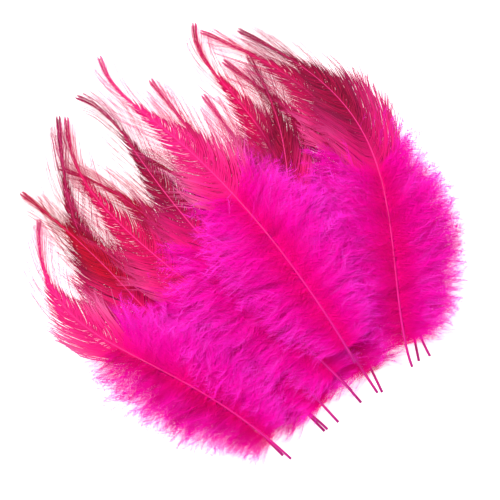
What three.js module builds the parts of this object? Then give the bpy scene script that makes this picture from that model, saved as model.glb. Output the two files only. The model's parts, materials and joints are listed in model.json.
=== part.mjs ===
// A heap of loose, dyed rooster hackle feathers, fanned out and lying on a table.
// Millimetres, +Z up. Each feather has a shaft, a left and a right vane near its tip, and a pad of
// down round its lower shaft. The feathers are laid one after another, lowest first. Each one lies
// over those already there, as a springy shaft would, and rolls to the side where it lies lowest.
import * as THREE from "three";

// ---- sizes that all the feathers share ----
const QUILL_DIAMETER = 1.1; // the horny tube at the cut end
const TIP_DIAMETER = 0.36; // the shaft where it ends in the tip
const SHAFT_SIDES = 6;
const QUILL_STEPS = 2; // stretches of shaft along the bare quill, the down and the vanes
const DOWN_STEPS = 7;
const VANE_STEPS = 9;

const DOWN_FLOOR = 0.3; // the layer of down under the shaft
const DOWN_RISE = 0.55; // how far the down rises over the shaft's middle line
const DOWN_EDGE = 0.6; // its thickness at the outer fringe
const DOWN_NECK = 0.2; // its width at the quill, as a share of its full width
const DOWN_CROWN = 0.45; // the share of its width that has the full thickness
const VANE_THICKNESS = 0.4;
const VANE_POINT = 0.7; // width of each vane where it ends at the tip
const VANE_STOP = 1.2; // bare shaft past the vanes

const SEAT = 0.3; // clearance between pieces that lie against each other
const DROOP_RADIUS = 120; // how tightly a shaft curves down past what holds it up
const TAUT_PASSES = 400;
const MOST_ROLL = 20; // degrees to either side
const ROLL_STEP = 2;

// ---- the feathers, lowest first ----
// quill: where the cut end lies. heading: degrees from +X, from the quill to the tip. length: quill
// to tip in a straight line. bow: how far the shaft swings to its left, and at what share of the
// length. curl: the same for the last sixth. bare: quill with no down. down: length and half width
// of the down. vane: half width of the vanes.
const feathers = [
  { quill: [29, -71], heading: 135, length: 142, bow: -10, at: 0.72, curl: 0, bare: 9, down: [68, 23], vane: 11 },
  { quill: [43, -60], heading: 132, length: 128, bow: -9, at: 0.68, curl: 0, bare: 10, down: [66, 23], vane: 11 },
  { quill: [51, -56], heading: 121, length: 132, bow: -4, at: 0.5, curl: 0, bare: 9, down: [72, 24], vane: 11 },
  { quill: [47, -38], heading: 119, length: 140, bow: -4, at: 0.6, curl: 4.5, bare: 8, down: [66, 24], vane: 12 },
  { quill: [65, -44], heading: 123, length: 136, bow: -17, at: 0.5, curl: 0, bare: 8, down: [66, 25], vane: 12 },
  { quill: [21, -46], heading: 100, length: 120, bow: -7, at: 0.7, curl: 0, bare: 8, down: [60, 22], vane: 9 },
  { quill: [49, -56], heading: 126, length: 147, bow: -2, at: 0.5, curl: 0, bare: 9, down: [74, 24], vane: 12 },
  { quill: [30, -70], heading: 131, length: 157, bow: 26, at: 0.62, curl: 0, bare: 9, down: [74, 24], vane: 12 },
  { quill: [13, -80], heading: 135, length: 141, bow: -3, at: 0.7, curl: 0, bare: 9, down: [70, 23], vane: 12 },
  { quill: [34, -67], heading: 132, length: 155, bow: 10, at: 0.72, curl: 3, bare: 9, down: [72, 24], vane: 13 },
  { quill: [39, -55], heading: 133, length: 153, bow: 2, at: 0.5, curl: -4, bare: 9, down: [74, 24], vane: 12 },
  { quill: [69, -42], heading: 125, length: 151, bow: -22, at: 0.6, curl: 0, bare: 9, down: [76, 27], vane: 12 },
  { quill: [62, -46], heading: 117, length: 144, bow: -24, at: 0.6, curl: 0, bare: 8, down: [70, 25], vane: 13 },
  { quill: [40, -44], heading: 130, length: 151, bow: -6, at: 0.45, curl: 4, bare: 6, down: [76, 24], vane: 14 },
  { quill: [16, -81], heading: 137, length: 132, bow: 16, at: 0.72, curl: 2, bare: 9, down: [74, 24], vane: 12 },
];

// ---- dyed colours ----
const shaftDye = new THREE.MeshStandardMaterial({ color: 0xd8407c, roughness: 0.45, metalness: 0 });
const vaneDye = new THREE.MeshStandardMaterial({ color: 0xb8123f, roughness: 0.7, metalness: 0 });
const downDye = new THREE.MeshStandardMaterial({ color: 0xf000aa, roughness: 0.95, metalness: 0 });

const mix = THREE.MathUtils.lerp;

// The surface that the feathers already laid make: the highest point in each square of a grid.
const CELL = 0.4;
const GRID = 1000; // squares along each side of the table
const highest = new Float64Array(GRID * GRID).fill(-SEAT); // bare table, where no clearance is needed
const squareOf = (x, y) => Math.round(y / CELL + GRID / 2) * GRID + Math.round(x / CELL + GRID / 2);

function raise(x, y, z) {
  const square = squareOf(x, y);
  highest[square] = Math.max(z, highest[square]);
}

// How far the shaft swings sideways at share t of its length: a bow with its peak at share at, and a
// curl near the tip.
function swing(t, { bow, at, curl }) {
  const bowed = Math.sin(Math.PI * t ** (Math.log(0.5) / Math.log(at)));
  return bow * bowed + curl * Math.sin(Math.PI * t ** 6);
}

// The stations along a feather, from the quill to the tip. Each has its place, the direction to the
// feather's left, the shaft's radius, and how far the feather reaches sideways, down and up there.
function stationsOf(feather) {
  const { quill, length, bare, down } = feather;
  const heading = THREE.MathUtils.degToRad(feather.heading);
  const along = new THREE.Vector2(Math.cos(heading), Math.sin(heading));
  const left = new THREE.Vector2(-along.y, along.x);
  const stretches = [
    { zone: "quill", from: 0, to: bare, steps: QUILL_STEPS },
    { zone: "down", from: bare + SEAT, to: bare + down[0], steps: DOWN_STEPS },
    { zone: "vane", from: bare + down[0] + SEAT, to: length - VANE_STOP, steps: VANE_STEPS },
    { zone: "tip", from: length, to: length, steps: 0 },
  ];
  const stations = [];
  for (const { zone, from, to, steps } of stretches) {
    for (let i = 0; i <= steps; i += 1) {
      const share = steps ? i / steps : 0;
      stations.push({ zone, share, d: mix(from, to, share) });
    }
  }
  for (const station of stations) {
    const t = station.d / length;
    const near = 0.001;
    const slope = (swing(Math.min(t + near, 1), feather) - swing(Math.max(t - near, 0), feather)) /
      ((Math.min(t + near, 1) - Math.max(t - near, 0)) * length);
    station.place = new THREE.Vector2(...quill)
      .addScaledVector(along, station.d)
      .addScaledVector(left, swing(t, feather));
    station.left = left.clone().addScaledVector(along, -slope).normalize();
    station.radius = mix(QUILL_DIAMETER, TIP_DIAMETER, t ** 0.8) / 2;
    Object.assign(station, reachOf(station, feather));
  }
  return stations;
}

// How far a feather reaches at a station: to each side, under the shaft's middle line at the shaft and
// beside it, and over that line beside the shaft and at the outer edge.
function reachOf({ zone, share, radius }, { down, vane }) {
  if (zone === "down") {
    const fullness = Math.sin(Math.PI * mix(0.06, 0.8, share)); // widest past the middle
    const wide = down[1] * mix(DOWN_NECK, 1, fullness);
    const under = QUILL_DIAMETER / 2 + SEAT + DOWN_FLOOR;
    return { wide, under, floor: under, over: DOWN_RISE, edge: DOWN_EDGE - under };
  }
  if (zone === "vane") {
    const wide = radius + SEAT + VANE_POINT + (vane - VANE_POINT) * (1 - share) ** 0.8;
    const half = VANE_THICKNESS / 2;
    return { wide, under: radius, floor: half, over: half, edge: half };
  }
  return { wide: radius, under: radius, floor: radius, over: radius, edge: radius };
}

// Cuts the stretch between two stations into rows across the feather. Each row has its share of the
// stretch, its distance from the quill, and points with their offset to the left of the shaft, which
// is also given as a share of the width. A rolled feather reaches less far out.
function rowsOf(a, b) {
  const spacing = CELL / 2;
  const steps = Math.ceil(a.place.distanceTo(b.place) / spacing) + 1;
  return Array.from({ length: steps + 1 }, (_, i) => {
    const share = i / steps;
    const wide = mix(a.wide, b.wide, share);
    const columns = Math.ceil(wide / spacing) + 1;
    const place = a.place.clone().lerp(b.place, share);
    const left = a.left.clone().lerp(b.left, share);
    const points = Array.from({ length: 2 * columns + 1 }, (_, j) => {
      const out = (j - columns) / columns;
      const side = out * wide;
      return { side, out: Math.abs(out), x: place.x + left.x * side, y: place.y + left.y * side };
    });
    return { share, d: mix(a.d, b.d, share), points };
  });
}

// The top and the underside of a feather at a distance beside the shaft, from the shaft's middle line.
function topAt({ over, edge, wide, radius }, side) {
  const shaft = side < radius + CELL ? radius : edge;
  const out = (side / wide - DOWN_CROWN) / (1 - DOWN_CROWN);
  return Math.max(shaft, mix(over, edge, THREE.MathUtils.clamp(out, 0, 1)));
}

function underAt({ under, floor, radius }, side) {
  return side < radius + CELL ? Math.max(under, floor) : floor;
}

// The lowest line that a rolled feather's shaft can take over what is under its rows. The shaft curves
// down past the last thing that holds it up, and runs straight across the gaps between them.
function lineOf(stations, rows, roll) {
  const slope = Math.tan(roll);
  const held = rows.map(({ i, share, d, tops }) => {
    const z = tops.reduce((most, { side, out, top, under }) => {
      if (out > Math.cos(roll)) return most;
      return Math.max(most, Math.max(top + SEAT, 0) + under / Math.cos(roll) - side * slope);
    }, 0);
    return { i, share, d, z };
  });
  const line = stations.map((station) =>
    held.reduce((most, { d, z }) => Math.max(most, z - (d - station.d) ** 2 / (2 * DROOP_RADIUS)), 0),
  );
  for (let pass = 0; pass < TAUT_PASSES; pass += 1) {
    for (let i = 1; i + 1 < line.length; i += 1) {
      const [before, here, next] = [i - 1, i, i + 1].map((j) => stations[j].d);
      line[i] = Math.max(line[i], mix(line[i - 1], line[i + 1], (here - before) / (next - before)));
    }
  }
  const short = line.map(() => 0); // how much each station still has to rise
  for (const { i, share, z } of held) {
    const missing = z - mix(line[i], line[i + 1], share);
    short[i] = Math.max(short[i], missing);
    short[i + 1] = Math.max(short[i + 1], missing);
  }
  const raised = line.map((z, i) => z + short[i]);
  const slack = held.map(({ i, share, z }) => mix(raised[i], raised[i + 1], share) - z);
  const spare = slack.reduce((least, gap) => Math.min(least, gap));
  return raised.map((z) => z - spare);
}

// Lays a feather at the roll that lets it lie lowest, and adds it to the surface for the next ones.
function lay(stations) {
  const rows = stations.slice(1).flatMap((b, i) =>
    rowsOf(stations[i], b).map((row) => ({
      ...row,
      i,
      tops: row.points.map(({ side, out, x, y }) => {
        const under = Math.max(underAt(stations[i], Math.abs(side)), underAt(b, Math.abs(side)));
        return { side, out, under, top: highest[squareOf(x, y)] };
      }),
    })),
  );
  let lowest = { mean: Infinity };
  for (let degrees = -MOST_ROLL; degrees <= MOST_ROLL; degrees += ROLL_STEP) {
    const roll = THREE.MathUtils.degToRad(degrees);
    const line = lineOf(stations, rows, roll);
    const mean = line.reduce((sum, z) => sum + z, 0) / line.length;
    if (mean < lowest.mean) lowest = { mean, roll, line };
  }
  const { roll, line } = lowest;
  stations.forEach((station, i) => Object.assign(station, { roll, z: line[i] }));
  for (const { i, share, points } of rows) {
    const z = mix(line[i], line[i + 1], share);
    for (const { side, x, y } of points.filter(({ out }) => out <= Math.cos(roll))) {
      const [a, b] = [stations[i], stations[i + 1]].map((s) => topAt(s, Math.abs(side)));
      raise(x, y, z + side * Math.tan(roll) + Math.max(a, b) / Math.cos(roll));
    }
  }
}

// A closed body swept through stations. section(station) gives its outline there as [left, up]
// points round the shaft's middle line, counter-clockwise as seen from the quill's end.
function sweep(stations, section) {
  const rings = stations.map((station) =>
    section(station).map(([across, above]) => {
      const side = across * Math.cos(station.roll) - above * Math.sin(station.roll);
      const up = across * Math.sin(station.roll) + above * Math.cos(station.roll);
      const { place, left, z } = station;
      return [place.x + left.x * side, place.y + left.y * side, z + up];
    }),
  );
  const count = rings[0].length;
  const index = [];
  for (let i = 0; i + 1 < rings.length; i += 1) {
    for (let j = 0; j < count; j += 1) {
      const [a, b] = [i * count + j, i * count + ((j + 1) % count)];
      index.push(a, b, b + count, a, b + count, a + count);
    }
  }
  const capped = (station, offset, turn) => {
    const outline = section(station).map(([side, up]) => new THREE.Vector2(side, up));
    for (const [a, b, c] of THREE.ShapeUtils.triangulateShape(outline, [])) {
      index.push(...(turn ? [a, c, b] : [a, b, c]).map((v) => v + offset));
    }
  };
  capped(stations[0], 0, true);
  capped(stations.at(-1), count * (rings.length - 1), false);
  const geometry = new THREE.BufferGeometry();
  geometry.setAttribute("position", new THREE.Float32BufferAttribute(rings.flat(2), 3));
  geometry.setIndex(index);
  geometry.computeVertexNormals();
  return geometry;
}

// The shaft: a round tube at the quill, and a finer and finer rod towards the tip.
function shaftOf(stations) {
  return sweep(stations, ({ radius }) =>
    Array.from({ length: SHAFT_SIDES }, (_, i) => {
      const angle = ((i + 0.5) / SHAFT_SIDES) * 2 * Math.PI;
      return [-Math.cos(angle) * radius, Math.sin(angle) * radius];
    }).reverse(),
  );
}

// One vane: a thin sheet beside the shaft, from the end of the down to the tip.
function vaneOf(stations, hand) {
  const half = VANE_THICKNESS / 2;
  return sweep(
    stations.filter(({ zone }) => zone === "vane"),
    ({ radius, wide }) => {
      const outline = [
        [radius + SEAT, -half],
        [radius + SEAT, half],
        [wide, half],
        [wide, -half],
      ];
      return hand > 0 ? outline.reverse() : outline.map(([side, up]) => [-side, up]);
    },
  );
}

// The down: a crowned pad with a flat underside and a groove along its top, where the shaft lies.
function downOf(stations) {
  const padded = stations.filter(({ zone }) => zone === "down");
  return sweep(padded, ({ radius, wide, under, over, edge }) => {
    const groove = radius + SEAT;
    const shoulder = Math.max(groove, wide * DOWN_CROWN);
    const leftHalf = [
      [groove, -groove],
      [groove, over],
      [shoulder, over],
      [wide, edge],
      [wide, -under],
    ];
    const rightHalf = leftHalf.map(([side, up]) => [-side, up]).reverse();
    return [...leftHalf, ...rightHalf].reverse();
  });
}

const heap = new THREE.Group();
feathers.forEach((feather, i) => {
  const name = `feather_${String(i + 1).padStart(2, "0")}`;
  const stations = stationsOf(feather);
  lay(stations);
  const pieces = [
    ["shaft", shaftOf(stations), shaftDye],
    ["left_vane", vaneOf(stations, 1), vaneDye],
    ["right_vane", vaneOf(stations, -1), vaneDye],
    ["down", downOf(stations), downDye],
  ];
  const group = new THREE.Group();
  for (const [piece, geometry, material] of pieces) {
    const mesh = new THREE.Mesh(geometry, material);
    mesh.name = `${name}_${piece}`;
    group.add(mesh);
  }
  heap.add(group);
});

// The origin is under the middle of the heap, on the table.
const box = new THREE.Box3().setFromObject(heap);
const middle = box.getCenter(new THREE.Vector3());
heap.position.set(-middle.x, -middle.y, -box.min.z);

export default heap;
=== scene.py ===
# A fanned heap of fifteen loose, dyed rooster hackle feathers, lying on a white table.
# Each feather has a horny shaft, a left and a right vane of fine barbs, and fluffy down round its
# lower shaft. Sizes are in metres.
import json
import math

import bpy
import numpy as np
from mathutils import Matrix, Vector

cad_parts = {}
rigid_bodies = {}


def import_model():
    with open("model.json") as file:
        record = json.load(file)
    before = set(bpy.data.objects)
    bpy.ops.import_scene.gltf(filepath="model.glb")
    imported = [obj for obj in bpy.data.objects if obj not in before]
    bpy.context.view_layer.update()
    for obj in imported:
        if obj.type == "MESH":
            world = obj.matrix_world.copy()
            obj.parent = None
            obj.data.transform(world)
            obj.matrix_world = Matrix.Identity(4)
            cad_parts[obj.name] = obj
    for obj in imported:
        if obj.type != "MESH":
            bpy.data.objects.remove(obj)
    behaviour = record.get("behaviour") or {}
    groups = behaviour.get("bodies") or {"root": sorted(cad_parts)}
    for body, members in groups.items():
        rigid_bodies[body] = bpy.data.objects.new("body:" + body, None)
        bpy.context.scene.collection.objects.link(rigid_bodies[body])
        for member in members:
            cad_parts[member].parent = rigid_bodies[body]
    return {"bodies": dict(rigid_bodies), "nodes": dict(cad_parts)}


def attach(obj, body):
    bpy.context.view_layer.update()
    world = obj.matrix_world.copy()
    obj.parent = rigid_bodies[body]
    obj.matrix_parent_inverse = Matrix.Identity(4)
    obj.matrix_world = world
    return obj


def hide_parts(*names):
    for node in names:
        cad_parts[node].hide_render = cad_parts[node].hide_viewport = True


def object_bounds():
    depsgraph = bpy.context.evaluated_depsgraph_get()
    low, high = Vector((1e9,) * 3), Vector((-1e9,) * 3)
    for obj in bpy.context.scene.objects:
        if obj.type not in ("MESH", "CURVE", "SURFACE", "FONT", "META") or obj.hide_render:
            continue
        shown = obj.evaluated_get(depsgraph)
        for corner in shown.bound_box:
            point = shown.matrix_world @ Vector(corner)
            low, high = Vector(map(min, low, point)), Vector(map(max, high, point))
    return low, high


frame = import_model()
cad_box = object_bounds()
MM = 0.001

# ---- The camera, the table and the light ----
# The heap is seen from straight above, on a white table top. A wide soft light hangs over its upper
# left corner, and white walls all round fill the shadows.
VIEW_WIDTH = 190 * MM
VIEW_OFFSET = Vector((4.9 * MM, -3.1 * MM, 0))
VIEW_DISTANCE = 1.1

scene = bpy.context.scene
camera = bpy.data.objects.new("camera", bpy.data.cameras.new("camera"))
camera.data.lens = camera.data.sensor_width * VIEW_DISTANCE / VIEW_WIDTH
camera.data.clip_start = 0.01
camera.location = (cad_box[0] + cad_box[1]) / 2 + VIEW_OFFSET + Vector((0, 0, VIEW_DISTANCE))
scene.collection.objects.link(camera)
scene.camera = camera
scene.view_settings.view_transform = "Standard"

TABLE_SIZE = 6.0
table = bpy.data.meshes.new("table")
half = TABLE_SIZE / 2
table.from_pydata(
    [(-half, -half, 0), (half, -half, 0), (half, half, 0), (-half, half, 0)], [], [(0, 1, 2, 3)]
)
table_top = bpy.data.objects.new("table", table)
scene.collection.objects.link(table_top)
white = bpy.data.materials.new("white table")
white.use_nodes = True
paint = white.node_tree.nodes["Principled BSDF"]
paint.inputs["Base Color"].default_value = (0.92, 0.92, 0.92, 1)
paint.inputs["Roughness"].default_value = 0.9
paint.inputs["Emission Color"].default_value = (1, 1, 1, 1)
paint.inputs["Emission Strength"].default_value = 0.7
table.materials.append(white)

world = bpy.data.worlds.new("white walls")
world.use_nodes = True
world.node_tree.nodes["Background"].inputs["Color"].default_value = (1, 1, 1, 1)
world.node_tree.nodes["Background"].inputs["Strength"].default_value = 0.68
scene.world = world
lamp = bpy.data.objects.new("soft light", bpy.data.lights.new("soft light", "AREA"))
lamp.data.size = 0.7
lamp.data.energy = 16
lamp.location = (-0.5, 0.55, 1.0)
lamp.rotation_euler = (-lamp.location).to_track_quat("-Z", "Y").to_euler()
scene.collection.objects.link(lamp)

# ---- Where each feather lies ----
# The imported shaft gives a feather's middle line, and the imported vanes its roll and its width.
LINE_STEPS = 160
RING_GAP = 0.6 * MM


def corners_of(node):
    """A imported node's corners, each one once."""
    mesh = frame["nodes"][node].data
    corners = np.empty(len(mesh.vertices) * 3, np.float32)
    mesh.vertices.foreach_get("co", corners)
    return np.unique(corners.reshape(-1, 3).round(7), axis=0).astype(float)


def curve_through(places, values, at):
    """Values at places in between, on a smooth curve through all those given."""
    slopes = np.gradient(values, places, axis=0)
    i = np.clip(np.searchsorted(places, at) - 1, 0, len(places) - 2)
    step = (places[i + 1] - places[i])[:, None]
    t = (at - places[i])[:, None] / step
    before = (1 + 2 * t) * (1 - t) ** 2 * values[i] + t * (1 - t) ** 2 * step * slopes[i]
    after = t * t * (3 - 2 * t) * values[i + 1] + t * t * (t - 1) * step * slopes[i + 1]
    return before + after


def unit(vectors):
    return vectors / np.linalg.norm(vectors, axis=-1, keepdims=True)


class Feather:
    """One feather's middle line from the quill to the tip. Each point of it has a distance from the
    quill, the shaft's radius, and the directions along the feather, to its left and up from it."""

    def __init__(self, body):
        self.body = body
        shaft = corners_of(f"{body}_shaft")
        down = corners_of(f"{body}_down")
        vanes = np.vstack([corners_of(f"{body}_left_vane"), corners_of(f"{body}_right_vane")])
        heading = unit((vanes.mean(0) - down.mean(0)) * (1, 1, 0))
        shaft = shaft[np.argsort(shaft @ heading)]
        rings = np.split(shaft, np.flatnonzero(np.diff(shaft @ heading) > RING_GAP) + 1)
        centres = np.array([ring.mean(0) for ring in rings])
        radii = [np.linalg.norm(r - c, axis=1).mean() for r, c in zip(rings, centres)]
        places = np.append(0, np.linalg.norm(np.diff(centres, axis=0), axis=1).cumsum())
        self.length = places[-1]
        self.place = np.linspace(0, self.length, LINE_STEPS + 1)
        self.line = curve_through(places, centres, self.place)
        self.radius = np.interp(self.place, places, radii)
        self.along = unit(np.gradient(self.line, axis=0))
        flat_left = unit(np.cross((0, 0, 1), self.along))
        index, side = self.beside(vanes, flat_left)
        slope = (side * (vanes - self.line[index])[:, 2]).sum() / (side**2).sum()
        self.left = unit(flat_left + slope * np.array((0, 0, 1)))
        self.up = np.cross(self.along, self.left)
        self.vane_from = self.place[index.min()]
        self.vane_reach = abs(side).max()
        index, side = self.beside(down, flat_left)
        self.down_from, self.down_to = self.place[index.min()], self.place[index.max()]
        self.down_reach = abs(side).max()

    def beside(self, points, left):
        """The nearest step of the line to each point, and how far to the line's left it is."""
        offsets = points[:, None, :2] - self.line[None, :, :2]
        index = np.linalg.norm(offsets, axis=2).argmin(1)
        return index, ((points - self.line[index]) * left[index]).sum(1)

    def stretch(self, name, start, end, side, reach):
        """The middle line from start to end as a mesh of edges for the growing trees."""
        inside = (self.place >= start - 1e-6) & (self.place <= end + 1e-6)
        line = self.line[inside]
        mesh = bpy.data.meshes.new(name)
        mesh.from_pydata(line, [(i, i + 1) for i in range(len(line) - 1)], [])
        attribute = mesh.attributes.new("side", "FLOAT_VECTOR", "POINT")
        attribute.data.foreach_set("vector", side[inside].ravel())
        attribute = mesh.attributes.new("reach", "FLOAT", "POINT")
        attribute.data.foreach_set("value", reach((self.place[inside] - start) / (end - start)))
        return mesh


feathers = [Feather(body) for body in sorted(frame["bodies"])]


# ---- Shafts ----
# Horn, dyed with the rest. The quill is a hollow tube, cut off square, and it thins to a solid rod
# that runs out as fine as a hair in the tip.
class Wire:
    """A socket in a node tree, so that sums of wires and numbers are written as plain Python."""

    def __init__(self, socket):
        self.socket = socket

    def __getitem__(self, name):
        return Wire(next(s for s in self.socket.node.outputs if s.name == name and s.enabled))

    def combined(self, operation, other=0.0, swapped=False):
        pair = (other, self) if swapped else (self, other)
        vectors = [
            p.socket.type == "VECTOR" if isinstance(p, Wire) else isinstance(p, tuple) for p in pair
        ]
        nodes = Nodes(self.socket.id_data)
        if operation == "MULTIPLY" and vectors[0] != vectors[1]:
            vector, number = pair if vectors[0] else pair[::-1]
            inputs = {0: vector, "Scale": number}
            return nodes.new("ShaderNodeVectorMath", inputs, operation="SCALE")
        kind = "ShaderNodeVectorMath" if any(vectors) else "ShaderNodeMath"
        return nodes.new(kind, {0: pair[0], 1: pair[1]}, operation=operation)

    def __add__(self, other):
        return self.combined("ADD", other)

    def __radd__(self, other):
        return self.combined("ADD", other, swapped=True)

    def __sub__(self, other):
        return self.combined("SUBTRACT", other)

    def __rsub__(self, other):
        return self.combined("SUBTRACT", other, swapped=True)

    def __mul__(self, other):
        return self.combined("MULTIPLY", other)

    def __rmul__(self, other):
        return self.combined("MULTIPLY", other, swapped=True)

    def __truediv__(self, other):
        return self.combined("DIVIDE", other)

    def __pow__(self, other):
        return self.combined("POWER", other)

    def at_least(self, other):
        return self.combined("MAXIMUM", other)

    def at_most(self, other):
        return self.combined("MINIMUM", other)

    def floor(self):
        return self.combined("FLOOR")

    def rise(self, low, high):
        """0 below low and 1 above high, with a smooth slope between them."""
        return Nodes(self.socket.id_data).new(
            "ShaderNodeMapRange",
            {"Value": self, "From Min": low, "From Max": high},
            interpolation_type="SMOOTHSTEP",
        )


class Nodes:
    """Adds nodes to one tree."""

    def __init__(self, tree):
        self.tree = tree

    def new(self, kind, inputs=None, stops=None, **settings):
        """A new node's first output. Its settings are set first, then its sockets' values or wires,
        and stops are a colour ramp's places and colours."""
        node = self.tree.nodes.new(kind)
        for name, value in settings.items():
            setattr(node, name, value)
        for i, (place, colour) in enumerate(stops or []):
            ramp = node.color_ramp.elements
            stop = ramp[i] if i < len(ramp) else ramp.new(place)
            stop.position, stop.color = place, (*colour, 1)
        for name, value in (inputs or {}).items():
            sockets = node.inputs
            socket = (
                sockets[name]
                if isinstance(name, int)
                else next(s for s in sockets if s.name == name and s.enabled)
            )
            if isinstance(value, Wire):
                self.tree.links.new(value.socket, socket)
            else:
                socket.default_value = value
        outputs = [s for s in node.outputs if s.enabled]
        return Wire(outputs[0]) if outputs else None

    def blend(self, share, first, second):
        """A colour that goes from first to second as share goes from 0 to 1."""
        return self.new(
            "ShaderNodeMix",
            {"Factor": share, "A": first, "B": second},
            data_type="RGBA",
        )

    def noise(self, place, scale, detail):
        return self.new(
            "ShaderNodeTexNoise", {"Vector": place, "Scale": scale, "Detail": detail}
        )


def dyed(name, fixed):
    """A new material with a Principled shader and its fixed values, and what adds nodes to it."""
    material = bpy.data.materials.new(name)
    material.use_nodes = True
    shader = material.node_tree.nodes["Principled BSDF"]
    for socket, value in fixed.items():
        shader.inputs[socket].default_value = value
    return material, Nodes(material.node_tree), shader


def colour(red, green, blue):
    """A colour as given from 0 to 255, in the linear light that shaders use."""
    shares = [c / 255 for c in (red, green, blue)]
    return (*[s / 12.92 if s <= 0.04045 else ((s + 0.055) / 1.055) ** 2.4 for s in shares], 1)


def connect(wire, socket):
    socket.id_data.links.new(wire.socket, socket)


def shaft_horn():
    material, nodes, shader = dyed("dyed horn", {"Specular IOR Level": 0.3})
    uv = nodes.new("ShaderNodeUVMap", uv_map="OFBake")
    parts = nodes.new("ShaderNodeSeparateXYZ", {"Vector": uv})
    along = parts["X"]
    grain = nodes.noise(uv * (14.0, 60.0, 1.0), 1.0, 3.0)
    dye = nodes.new(
        "ShaderNodeValToRGB",
        {"Fac": along},
        stops=[
            (0.0, colour(176, 0, 124)[:3]),
            (0.07, colour(218, 0, 140)[:3]),
            (0.3, colour(238, 0, 136)[:3]),
            (0.75, colour(230, 40, 130)[:3]),
            (1.0, colour(190, 20, 84)[:3]),
        ],
    )
    base = nodes.blend(grain.rise(0.45, 0.75) * 0.3, dye, colour(248, 70, 145))
    connect(base, shader.inputs["Base Color"])
    connect(0.28 + grain * 0.25, shader.inputs["Roughness"])
    bump = nodes.new("ShaderNodeBump", {"Height": grain, "Strength": 0.25, "Distance": 0.05 * MM})
    connect(bump, shader.inputs["Normal"])
    return material


HORN = shaft_horn()
SHAFT_SIDES = 10
QUILL_WALL = 0.16 * MM
QUILL_HOLLOW = 5 * MM
SHAFT_STEPS = 56
SHAFT_THINNING = 0.62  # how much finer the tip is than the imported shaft's


def shaft_mesh(feather):
    """Rings from the bottom of the quill's hollow out to its mouth, and back over the outside to
    the tip. Each ring has a distance from the quill's end and a radius."""
    outer = np.linspace(0, feather.length, SHAFT_STEPS + 1)
    radii = np.interp(outer, feather.place, feather.radius)
    radii = radii * (1 - SHAFT_THINNING * (outer / feather.length) ** 2)
    quill = radii[0]
    inside = [(QUILL_HOLLOW, 0.04 * MM), (QUILL_HOLLOW * 0.85, quill - 2 * QUILL_WALL)]
    mouth = [(0.06 * MM, quill - QUILL_WALL), (0, quill - 0.6 * QUILL_WALL), (0, quill * 0.97)]
    rings = [*inside, *mouth, (0.08 * MM, quill), *zip(outer[1:], radii[1:])]
    vertices = []
    for place, radius in rings:
        centre, left, up = (
            np.array([np.interp(place, feather.place, axis[:, i]) for i in range(3)])
            for axis in (feather.line, feather.left, feather.up)
        )
        for j in range(SHAFT_SIDES):
            angle = 2 * math.pi * j / SHAFT_SIDES
            vertices.append(centre + radius * (math.cos(angle) * left + math.sin(angle) * up))
    faces = []
    for i in range(len(rings) - 1):
        for j in range(SHAFT_SIDES):
            k = (j + 1) % SHAFT_SIDES
            a, b = i * SHAFT_SIDES, (i + 1) * SHAFT_SIDES
            faces.append((a + j, b + j, b + k, a + k))
    faces.append(tuple(range(SHAFT_SIDES)))
    faces.append(tuple(range(len(vertices) - 1, len(vertices) - 1 - SHAFT_SIDES, -1)))
    mesh = bpy.data.meshes.new(f"{feather.body}_horn")
    mesh.from_pydata(vertices, [], faces)
    uv = mesh.uv_layers.new(name="OFBake")
    shares = [ring[0] / feather.length for ring in rings]
    for face in mesh.polygons:
        sides = [mesh.loops[i].vertex_index % SHAFT_SIDES for i in face.loop_indices]
        wraps = max(sides) - min(sides) > 1 and len(sides) == 4
        for i, j in zip(face.loop_indices, sides):
            ring = mesh.loops[i].vertex_index // SHAFT_SIDES
            across = SHAFT_SIDES if wraps and j == 0 else j
            uv.data[i].uv = (shares[ring], across / SHAFT_SIDES)
    mesh.shade_smooth()
    return mesh


for feather in feathers:
    shaft = bpy.data.objects.new(f"{feather.body}_horn", shaft_mesh(feather))
    scene.collection.objects.link(shaft)
    shaft.data.materials.append(HORN)
    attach(shaft, feather.body)
    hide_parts(f"{feather.body}_shaft")


# ---- Vanes ----
# Rows of flat barbs that leave the shaft at a slant and bend towards the tip. Near the shaft they
# are zipped into a close web. Past its edge they are loose, finer than a hair, and cling in tufts.
TABLE_GAP = 0.15 * MM


def new_tree(name, sizes):
    """A Geometry Nodes tree that takes a mesh and the named sizes, with its inputs as wires."""
    tree = bpy.data.node_groups.new(name, "GeometryNodeTree")
    tree.interface.new_socket("Line", in_out="INPUT", socket_type="NodeSocketGeometry")
    for size, kind in sizes.items():
        tree.interface.new_socket(size, in_out="INPUT", socket_type=f"NodeSocket{kind}")
    tree.interface.new_socket("Piece", in_out="OUTPUT", socket_type="NodeSocketGeometry")
    return Nodes(tree), Nodes(tree).new("NodeGroupInput")


def grown(name, start, nodes, **sizes):
    """An object with the plain mesh that a tree makes of a starting mesh."""
    piece = bpy.data.objects.new(name, start)
    scene.collection.objects.link(piece)
    growth = piece.modifiers.new("growth", "NODES")
    growth.node_group = nodes.tree
    for socket in nodes.tree.interface.items_tree:
        key = socket.name.lower().replace(" ", "_")
        if key in sizes:
            growth[socket.identifier] = sizes[key]
    evaluated = piece.evaluated_get(bpy.context.evaluated_depsgraph_get())
    mesh = bpy.data.meshes.new_from_object(evaluated)
    piece.modifiers.remove(growth)
    piece.data = mesh
    mesh.name = name
    return piece


def named(nodes, name, data_type="FLOAT"):
    return nodes.new("GeometryNodeInputNamedAttribute", {"Name": name}, data_type=data_type)


def stored(nodes, geometry, name, value, domain="POINT", data_type="FLOAT"):
    return nodes.new(
        "GeometryNodeStoreNamedAttribute",
        {"Geometry": geometry, "Name": name, "Value": value},
        data_type=data_type,
        domain=domain,
    )


def chance(nodes, low, high, identity, seed):
    """A random number from low to high for each identity."""
    return nodes.new(
        "FunctionNodeRandomValue", {"Min": low, "Max": high, "ID": identity, "Seed": seed}
    )


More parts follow.
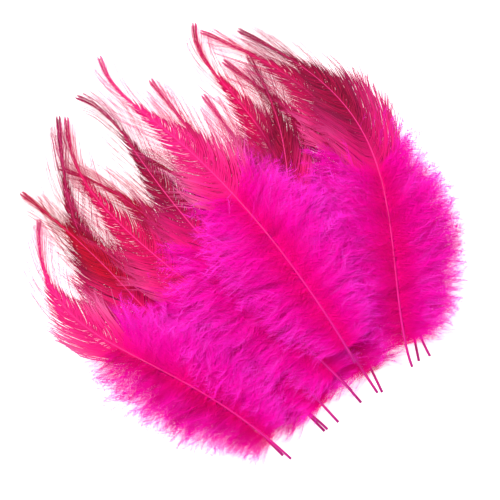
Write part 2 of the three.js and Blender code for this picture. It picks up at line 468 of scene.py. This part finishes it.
def on_line(nodes, curve, factor, name=None, data_type="FLOAT_VECTOR"):
    """The place at a share of the line, or a named attribute's value there."""
    inputs = {"Curves": curve, "Factor": factor}
    if name:
        inputs["Value"] = named(nodes, name, data_type)
    sample = nodes.new("GeometryNodeSampleCurve", inputs, data_type=data_type, mode="FACTOR")
    return sample["Value"] if name else sample


def centred(nodes, noise, middle):
    """A noise's three values as a vector about 0."""
    inputs = {0: noise["Color"], 1: middle}
    return nodes.new("ShaderNodeVectorMath", inputs, operation="SUBTRACT")


def vane_tree():
    nodes, given = new_tree(
        "barbs of a vane",
        {
            "Barbs": "Int",
            "Tufts": "Float",
            "Cling": "Float",
            "Barb length": "Float",
            "Barb radius": "Float",
            "Web radius": "Float",
            "Web": "Float",
            "Stray": "Float",
            "Seed": "Int",
            "Dye": "Material",
        },
    )
    line = nodes.new("GeometryNodeMeshToCurve", {"Mesh": given["Line"]})
    length = nodes.new("GeometryNodeCurveLength", {"Curve": line})
    roots = nodes.new("GeometryNodeMeshLine", {"Count": given["Barbs"]})
    index = nodes.new("GeometryNodeInputIndex")
    roots = stored(nodes, roots, "slot", (index + 0.5) / given["Barbs"])
    strand = nodes.new("GeometryNodeCurvePrimitiveLine", {"End": (1.0, 0.0, 0.0)})
    strand = nodes.new("GeometryNodeResampleCurve", {"Curve": strand, "Count": 8})
    barbs = nodes.new("GeometryNodeInstanceOnPoints", {"Points": roots, "Instance": strand})
    barbs = nodes.new("GeometryNodeRealizeInstances", {"Geometry": barbs})
    slot = named(nodes, "slot")
    out = nodes.new("GeometryNodeSplineParameter")["Factor"]
    seed = given["Seed"]
    barb_id = (slot * given["Barbs"]).floor()
    uneven = nodes.noise(
        nodes.new("ShaderNodeCombineXYZ", {"X": slot * given["Tufts"], "Y": seed * 3.7}), 0.9, 1.0
    )
    tuft = (slot * given["Tufts"] + uneven * 2.0).floor()
    tuft_slot = (tuft + 0.5 - uneven * 2.0) / given["Tufts"]
    tuft_luck = chance(nodes, 0.0, 1.0, tuft, seed)
    tuft_lift = chance(nodes, -1.0, 1.0, tuft, seed + 1.0)
    barb_luck = chance(nodes, 0.0, 1.0, barb_id, seed + 2.0)
    strays = chance(nodes, 0.0, 1.0, barb_id, seed + 3.0).rise(0.93, 1.0) * given["Stray"]

    # The zipped web is widest at the down and runs to a point. Past it the barbs cling in tufts.
    web_end = (given["Web"] * (1.0 - slot) ** 2.4 + 0.05).at_most(0.94)
    loose = out.rise((web_end * 1.2).at_most(0.95), 1.0)
    parting = (tuft_luck - 0.5) * loose
    root = slot + (tuft_slot - slot) * loose * given["Cling"]

    # A barb leans forward as it goes out, and ends before the tip. The innermost reach farthest.
    inner = chance(nodes, 0.0, 1.0, barb_id, seed + 4.0)
    left_over = (1.0 - slot) * length * (0.76 + inner * 0.26) + 1.4 * MM
    lean = (given["Barb length"] * (0.85 + barb_luck * 0.25)).at_most(left_over)
    end = (slot + lean / length).at_most(1.0)
    reach = on_line(nodes, line, end, "reach", "FLOAT")
    forward = lean * out ** (1.25 + parting * 0.3)
    factor = root + forward / length
    past = (factor - 1.0).at_least(0.0) * length
    sample = on_line(nodes, line, factor.at_most(1.0))
    side = on_line(nodes, line, factor.at_most(1.0), "side")
    reach_out = reach * (0.9 + parting * 0.4 + barb_luck * 0.06 + strays * 0.6)
    reach_out = reach_out * (1.0 - slot.rise(0.6, 0.95) * inner * 0.95)
    sideways = 0.12 * MM + reach_out * (out ** (0.78 + strays * 0.3))

    # Its outer part lifts and wavers, and stays above the table.
    lift = (0.25 + tuft_lift * 0.9 * loose + barb_luck * 0.4) * (out**2.0) * 1.1 * MM
    lift = lift + barb_luck * 0.1 * MM
    place = (
        sample["Position"]
        + sample["Tangent"] * past
        + side * sideways
        + nodes.new("ShaderNodeCombineXYZ", {"Z": lift})
    )
    waver = centred(nodes, nodes.noise(place * 160.0, 1.0, 1.0), (0.5, 0.5, 0.5))
    place = place + waver * (out * 1.1 * MM)
    parts = nodes.new("ShaderNodeSeparateXYZ", {"Vector": place})
    place = nodes.new(
        "ShaderNodeCombineXYZ",
        {"X": parts["X"], "Y": parts["Y"], "Z": parts["Z"].at_least(TABLE_GAP)},
    )
    barbs = nodes.new("GeometryNodeSetPosition", {"Geometry": barbs, "Position": place})

    # Flat blades that overlap in the web, and hairs of uneven thickness past it.
    taper = (1.0 - out).at_least(0.0) ** 0.45
    fine = given["Barb radius"] * (0.55 + 0.45 * taper) * (0.5 + 2.5 * barb_luck**4.0)
    fine = fine * (1.0 + slot.rise(0.5, 1.0) * 0.5)
    zipped = 1.0 - out.rise(web_end * 0.75, web_end * 1.35)
    closing = 1.0 - slot.rise(0.45, 0.95) * 0.5
    radius = fine + (given["Web radius"] * closing - fine) * zipped
    barbs = nodes.new("GeometryNodeSetCurveNormal", {"Curve": barbs}, mode="Z_UP")
    barbs = nodes.new("GeometryNodeSetCurveTilt", {"Curve": barbs, "Tilt": 0.15 + barb_luck * 0.35})
    barbs = stored(nodes, barbs, "out", out)
    section = nodes.new("GeometryNodeCurvePrimitiveCircle", {"Resolution": 3, "Radius": 1.0})
    section = nodes.new("GeometryNodeTransform", {"Geometry": section, "Scale": (1.0, 0.3, 1.0)})
    section = stored(nodes, section, "across", index * 0.5)
    flesh = nodes.new(
        "GeometryNodeCurveToMesh",
        {"Curve": barbs, "Profile Curve": section, "Scale": radius, "Fill Caps": True},
    )
    spot = nodes.new(
        "ShaderNodeCombineXYZ",
        {
            "X": named(nodes, "slot") + (named(nodes, "across") - 0.5) * 0.8 / given["Barbs"],
            "Y": 0.01 + named(nodes, "out") * 0.98,
        },
    )
    flesh = stored(nodes, flesh, "OFBake", spot, "CORNER", "FLOAT2")
    flesh = nodes.new("GeometryNodeRealizeInstances", {"Geometry": flesh})
    flesh = nodes.new("GeometryNodeSetMaterial", {"Geometry": flesh, "Material": given["Dye"]})
    nodes.new("NodeGroupOutput", {"Piece": flesh})
    return nodes


def vane_dye(name, pale, rich, deep):
    """Barbs are palest in the loose fringe. Each takes the dye a little differently."""
    sheen = {"Sheen Weight": 0.1, "Sheen Roughness": 0.4, "Sheen Tint": colour(255, 120, 190)}
    material, nodes, shader = dyed(name, {"Specular IOR Level": 0.12, **sheen})
    uv = nodes.new("ShaderNodeUVMap", uv_map="OFBake")
    parts = nodes.new("ShaderNodeSeparateXYZ", {"Vector": uv})
    streaks = nodes.noise(uv * (110.0, 1.2, 1.0), 1.0, 2.0)
    patches = nodes.noise(uv * (7.0, 1.0, 1.0), 1.0, 2.0)
    base = nodes.blend(streaks.rise(0.38, 0.62), rich, deep)
    base = nodes.blend(parts["X"].rise(0.0, 0.42), colour(240, 8, 128), base)
    base = nodes.blend(parts["Y"].rise(0.15, 1.0) * patches.rise(0.25, 0.7) * 0.8, base, pale)
    connect(base, shader.inputs["Base Color"])
    connect(0.5 + streaks * 0.3, shader.inputs["Roughness"])
    return material


VANE_DYES = {
    name: vane_dye(f"{name} barbs", *(colour(*shade) for shade in shades))
    for name, shades in {
        "rose": ((244, 96, 168), (230, 6, 102), (184, 0, 66)),
        "crimson": ((208, 60, 130), (176, 0, 66), (116, 0, 42)),
        "red": ((226, 60, 120), (208, 0, 50), (158, 0, 36)),
        "pink": ((248, 140, 200), (242, 40, 142), (212, 6, 100)),
    }.items()
}
# For each feather, lowest first: its dye, how much of its vane is zipped, and how loose the barbs
# at the edge are.
VANE_LOOKS = [
    ("red", 1.0, 0.4),
    ("red", 1.1, 0.3),
    ("pink", 0.7, 0.6),
    ("rose", 0.9, 0.5),
    ("rose", 0.8, 0.5),
    ("crimson", 0.9, 0.4),
    ("rose", 0.9, 0.4),
    ("crimson", 0.9, 0.6),
    ("red", 1.1, 0.5),
    ("rose", 0.8, 0.6),
    ("crimson", 0.7, 0.7),
    ("rose", 1.1, 0.7),
    ("crimson", 1.4, 0.5),
    ("pink", 0.8, 0.8),
    ("pink", 0.9, 0.7),
]
BARB_SPACING = 0.28 * MM
UNDER_DOWN = 16 * MM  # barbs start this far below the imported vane, where the down covers them
FRINGE_SPREAD = 1.35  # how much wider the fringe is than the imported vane
TIP_REACH = 1.1 * MM
VANE = vane_tree()

for number, (feather, (dye, web, stray)) in enumerate(zip(feathers, VANE_LOOKS), 1):
    for hand, turn in (("left", 1), ("right", -1)):
        start = feather.stretch(
            f"{feather.body} vane line",
            feather.vane_from - UNDER_DOWN,
            feather.length,
            feather.left * turn,
            lambda share: feather.vane_reach * FRINGE_SPREAD * (1 - share) ** 0.5 + TIP_REACH,
        )
        vane = grown(
            f"{feather.body}_{hand}_barbs",
            start,
            VANE,
            barbs=int((feather.length - feather.vane_from + UNDER_DOWN) / BARB_SPACING),
            tufts=36.0,
            cling=0.35,
            barb_length=27 * MM,
            barb_radius=0.028 * MM,
            web_radius=0.21 * MM,
            web=web,
            stray=stray,
            seed=10 * number + turn,
            dye=VANE_DYES[dye],
        )
        vane.data.shade_smooth()
        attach(vane, feather.body)
        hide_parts(f"{feather.body}_{hand}_vane")


# ---- Down ----
# Long soft plumes that stand off the lower shaft on both sides. Each has a limp barb with fine
# barbules along it that don't zip, so they fluff up into one airy tuft.
PLUME_PAIRS = 22
PLUME_BENDS = 6
PLUME_KINDS = 6
BARBULE = 0.19  # lengths are shares of the plume's own length
BARBULE_BASE = 0.0045
SPINE_WIDTH = 0.0035


def plume_mesh(kind):
    """One plume along +X, with a length of 1, its barb bent and its barbules spread in pairs."""
    dice = np.random.default_rng(kind)
    bend, lift = dice.uniform(-0.3, 0.3), dice.uniform(-0.12, 0.1)
    phase = dice.uniform(0, 6)

    def spine(t):
        return np.array(
            (t * (1 - 0.06 * t), bend * t * t + 0.02 * math.sin(5 * t + phase), lift * t * t)
        )

    vertices, faces, spots = [], [], []
    for i in range(PLUME_BENDS + 1):
        t = i / PLUME_BENDS
        width = SPINE_WIDTH * (1 - 0.8 * t)
        for turn in (-1, 1):
            vertices.append(spine(t) + (0, turn * width, 0))
            spots.append((0.5 + 0.5 * turn, t))
        if i:
            faces.append((2 * i - 2, 2 * i, 2 * i + 1, 2 * i - 1))
    for i in range(PLUME_PAIRS):
        t = 0.04 + 0.94 * i / (PLUME_PAIRS - 1)
        for turn in (-1, 1):
            t_here = min(t + dice.uniform(-0.015, 0.015), 0.99)
            base = spine(t_here)
            slant = math.radians(dice.uniform(28, 58) * (1 - 0.35 * t))
            size = BARBULE * dice.uniform(0.75, 1.2) * (1 - 0.55 * t**2)
            direction = np.array(
                (math.cos(slant), turn * math.sin(slant), dice.uniform(-0.18, 0.22))
            )
            first = len(vertices)
            half_base = (BARBULE_BASE, 0, 0)
            vertices += [base - half_base, base + half_base, base + direction * size]
            order = (0, 1, 2) if turn > 0 else (0, 2, 1)
            faces.append(tuple(first + corner for corner in order))
            spots += [(0.3, t_here), (0.7, t_here), (0.5 + 0.45 * turn, min(t_here + 0.15, 1))]
    mesh = bpy.data.meshes.new(f"plume {kind}")
    mesh.from_pydata(vertices, [], faces)
    uv = mesh.uv_layers.new(name="OFBake")
    for loop in mesh.loops:
        uv.data[loop.index].uv = spots[loop.vertex_index]
    return mesh


plumes = bpy.data.collections.new("plumes")
for kind in range(PLUME_KINDS):
    plumes.objects.link(bpy.data.objects.new(f"plume {kind}", plume_mesh(kind)))


def down_tree():
    nodes, given = new_tree(
        "plumes of down",
        {
            "Plumes": "Int",
            "Tuft size": "Float",
            "Tousle": "Float",
            "Loft": "Float",
            "Seed": "Int",
            "Dye": "Material",
        },
    )
    seed = given["Seed"]
    line = nodes.new("GeometryNodeMeshToCurve", {"Mesh": given["Line"]})
    points = nodes.new("GeometryNodePoints", {"Count": given["Plumes"]})
    index = nodes.new("GeometryNodeInputIndex")
    points = stored(nodes, points, "slot", chance(nodes, 0.0, 1.0, index, seed))
    slot = named(nodes, "slot")
    hand = (chance(nodes, 0.0, 2.0, index, seed + 1.0).floor() - 0.5) * 2.0

    # Each plume leaves the shaft at a slant of its own and is as long as the down reaches there.
    sample = on_line(nodes, line, slot)
    side = on_line(nodes, line, slot, "side")
    reach = on_line(nodes, line, slot, "reach", "FLOAT")
    slant = 1.5 - slot * 0.4 + chance(nodes, -0.35, 0.35, index, seed + 2.0)
    sine = slant.combined("SINE")
    raised = chance(nodes, -0.12, 0.16, index, seed + 3.0)
    direction = (
        sample["Tangent"] * slant.combined("COSINE")
        + side * (sine * hand)
        + nodes.new("ShaderNodeCombineXYZ", {"Z": raised})
    )
    turned = nodes.new("FunctionNodeAlignRotationToVector", {"Vector": direction}, axis="X")
    twist = chance(nodes, -0.9, 0.9, index, seed + 4.0)
    turned = nodes.new(
        "FunctionNodeRotateRotation",
        {"Rotation": turned, "Rotate By": nodes.new("ShaderNodeCombineXYZ", {"X": twist})},
        rotation_space="LOCAL",
    )
    size = reach * chance(nodes, 0.55, 1.12, index, seed + 5.0) / sine.at_least(0.6)
    place = sample["Position"] + side * (hand * 0.2 * MM)
    points = nodes.new("GeometryNodeSetPosition", {"Geometry": points, "Position": place})
    collection = nodes.new(
        "GeometryNodeCollectionInfo",
        {"Collection": plumes, "Separate Children": True, "Reset Children": True},
    )
    tufts = nodes.new(
        "GeometryNodeInstanceOnPoints",
        {
            "Points": points,
            "Instance": collection,
            "Pick Instance": True,
            "Instance Index": chance(nodes, 0.0, PLUME_KINDS - 0.01, index, seed + 6.0).floor(),
            "Rotation": turned,
            "Scale": nodes.new("ShaderNodeCombineXYZ", {"X": size, "Y": size, "Z": size}),
        },
    )
    tufts = nodes.new("GeometryNodeRealizeInstances", {"Geometry": tufts})

    # Broad and fine noise tousles the ends, and what stands up too far sinks back.
    spot = nodes.new("ShaderNodeSeparateXYZ", {"Vector": named(nodes, "OFBake", "FLOAT_VECTOR")})
    out = spot["Y"]
    place = nodes.new("GeometryNodeInputPosition")
    spread = place / given["Tuft size"]
    broad = centred(nodes, nodes.noise(spread + seed * 1.3, 1.0, 1.0), (0.5, 0.5, 0.47))
    fine = centred(nodes, nodes.noise(spread * 3.2 + seed * 2.1, 1.0, 1.0), (0.5, 0.5, 0.5))
    shift = (broad + fine * 0.12) * (1.0, 1.0, 0.5) * (given["Tousle"] * (0.1 + out * 0.9))
    moved = place + shift
    parts = nodes.new("ShaderNodeSeparateXYZ", {"Vector": moved})
    shaft = nodes.new("ShaderNodeSeparateXYZ", {"Vector": on_line(nodes, line, slot)["Position"]})
    stands = parts["Z"] - shaft["Z"]
    height = shaft["Z"] + stands / (1.0 + stands.at_least(0.0) / given["Loft"])
    moved = nodes.new(
        "ShaderNodeCombineXYZ",
        {"X": parts["X"], "Y": parts["Y"], "Z": height.at_least(TABLE_GAP)},
    )
    tufts = nodes.new("GeometryNodeSetPosition", {"Geometry": tufts, "Position": moved})
    spot = nodes.new(
        "ShaderNodeCombineXYZ",
        {"X": 0.02 + slot * 0.94 + spot["X"] * 0.02, "Y": 0.01 + out * 0.98},
    )
    tufts = stored(nodes, tufts, "OFBake", spot, "CORNER", "FLOAT2")
    tufts = nodes.new("GeometryNodeRealizeInstances", {"Geometry": tufts})
    tufts = nodes.new("GeometryNodeSetMaterial", {"Geometry": tufts, "Material": given["Dye"]})
    nodes.new("NodeGroupOutput", {"Piece": tufts})
    return nodes


def down_dye():
    sheen = {"Sheen Weight": 0.25, "Sheen Roughness": 0.5, "Sheen Tint": colour(255, 90, 225)}
    material, nodes, shader = dyed("magenta down", {"Specular IOR Level": 0.05, **sheen})
    uv = nodes.new("ShaderNodeUVMap", uv_map="OFBake")
    out = nodes.new("ShaderNodeSeparateXYZ", {"Vector": uv})["Y"]
    patches = nodes.noise(uv * (26.0, 1.5, 1.0), 1.0, 2.0)
    base = nodes.blend(out.rise(0.0, 0.6), colour(246, 0, 140), colour(252, 0, 182))
    base = nodes.blend(out.rise(0.6, 1.0) * 0.8, base, colour(255, 36, 216))
    # Painted shade: noise patches darken the down towards a deep crimson-magenta, standing in for
    # the shade in the hollows between tufts.
    base = nodes.blend(patches.rise(0.5, 0.75) * 0.75, base, colour(206, 0, 120))
    # Painted highlight: the other patches lighten the outer part of each plume towards lilac,
    # standing in for light catching the tops of the tufts.
    painted_highlight = (1.0 - patches).rise(0.5, 0.72) * out.rise(0.2, 0.8)
    base = nodes.blend(painted_highlight, base, colour(255, 70, 228))
    connect(base, shader.inputs["Base Color"])
    connect(0.7 + patches * 0.25, shader.inputs["Roughness"])
    return material


DOWN_DYE = down_dye()
DOWN = down_tree()
PLUMES = 1500
DOWN_STOP = 6 * MM  # the last plumes grow this far short of the packed down's end
DOWN_SPREAD = 1.05


def down_outline(share):
    """How wide the down is at a share of its length, where 1 is its widest."""
    return 0.3 + 0.7 * np.sin(math.pi * (0.08 + 0.8 * share))


for number, feather in enumerate(feathers, 1):
    start = feather.stretch(
        f"{feather.body} down line",
        feather.down_from,
        feather.down_to - DOWN_STOP,
        feather.left,
        lambda share: feather.down_reach * DOWN_SPREAD * down_outline(share),
    )
    down = grown(
        f"{feather.body}_plumes",
        start,
        DOWN,
        plumes=PLUMES,
        tuft_size=13 * MM,
        tousle=10 * MM,
        loft=18 * MM,
        seed=31 * number,
        dye=DOWN_DYE,
    )
    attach(down, feather.body)
    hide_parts(f"{feather.body}_down")

for kind in list(plumes.objects):
    bpy.data.objects.remove(kind)
bpy.data.collections.remove(plumes)
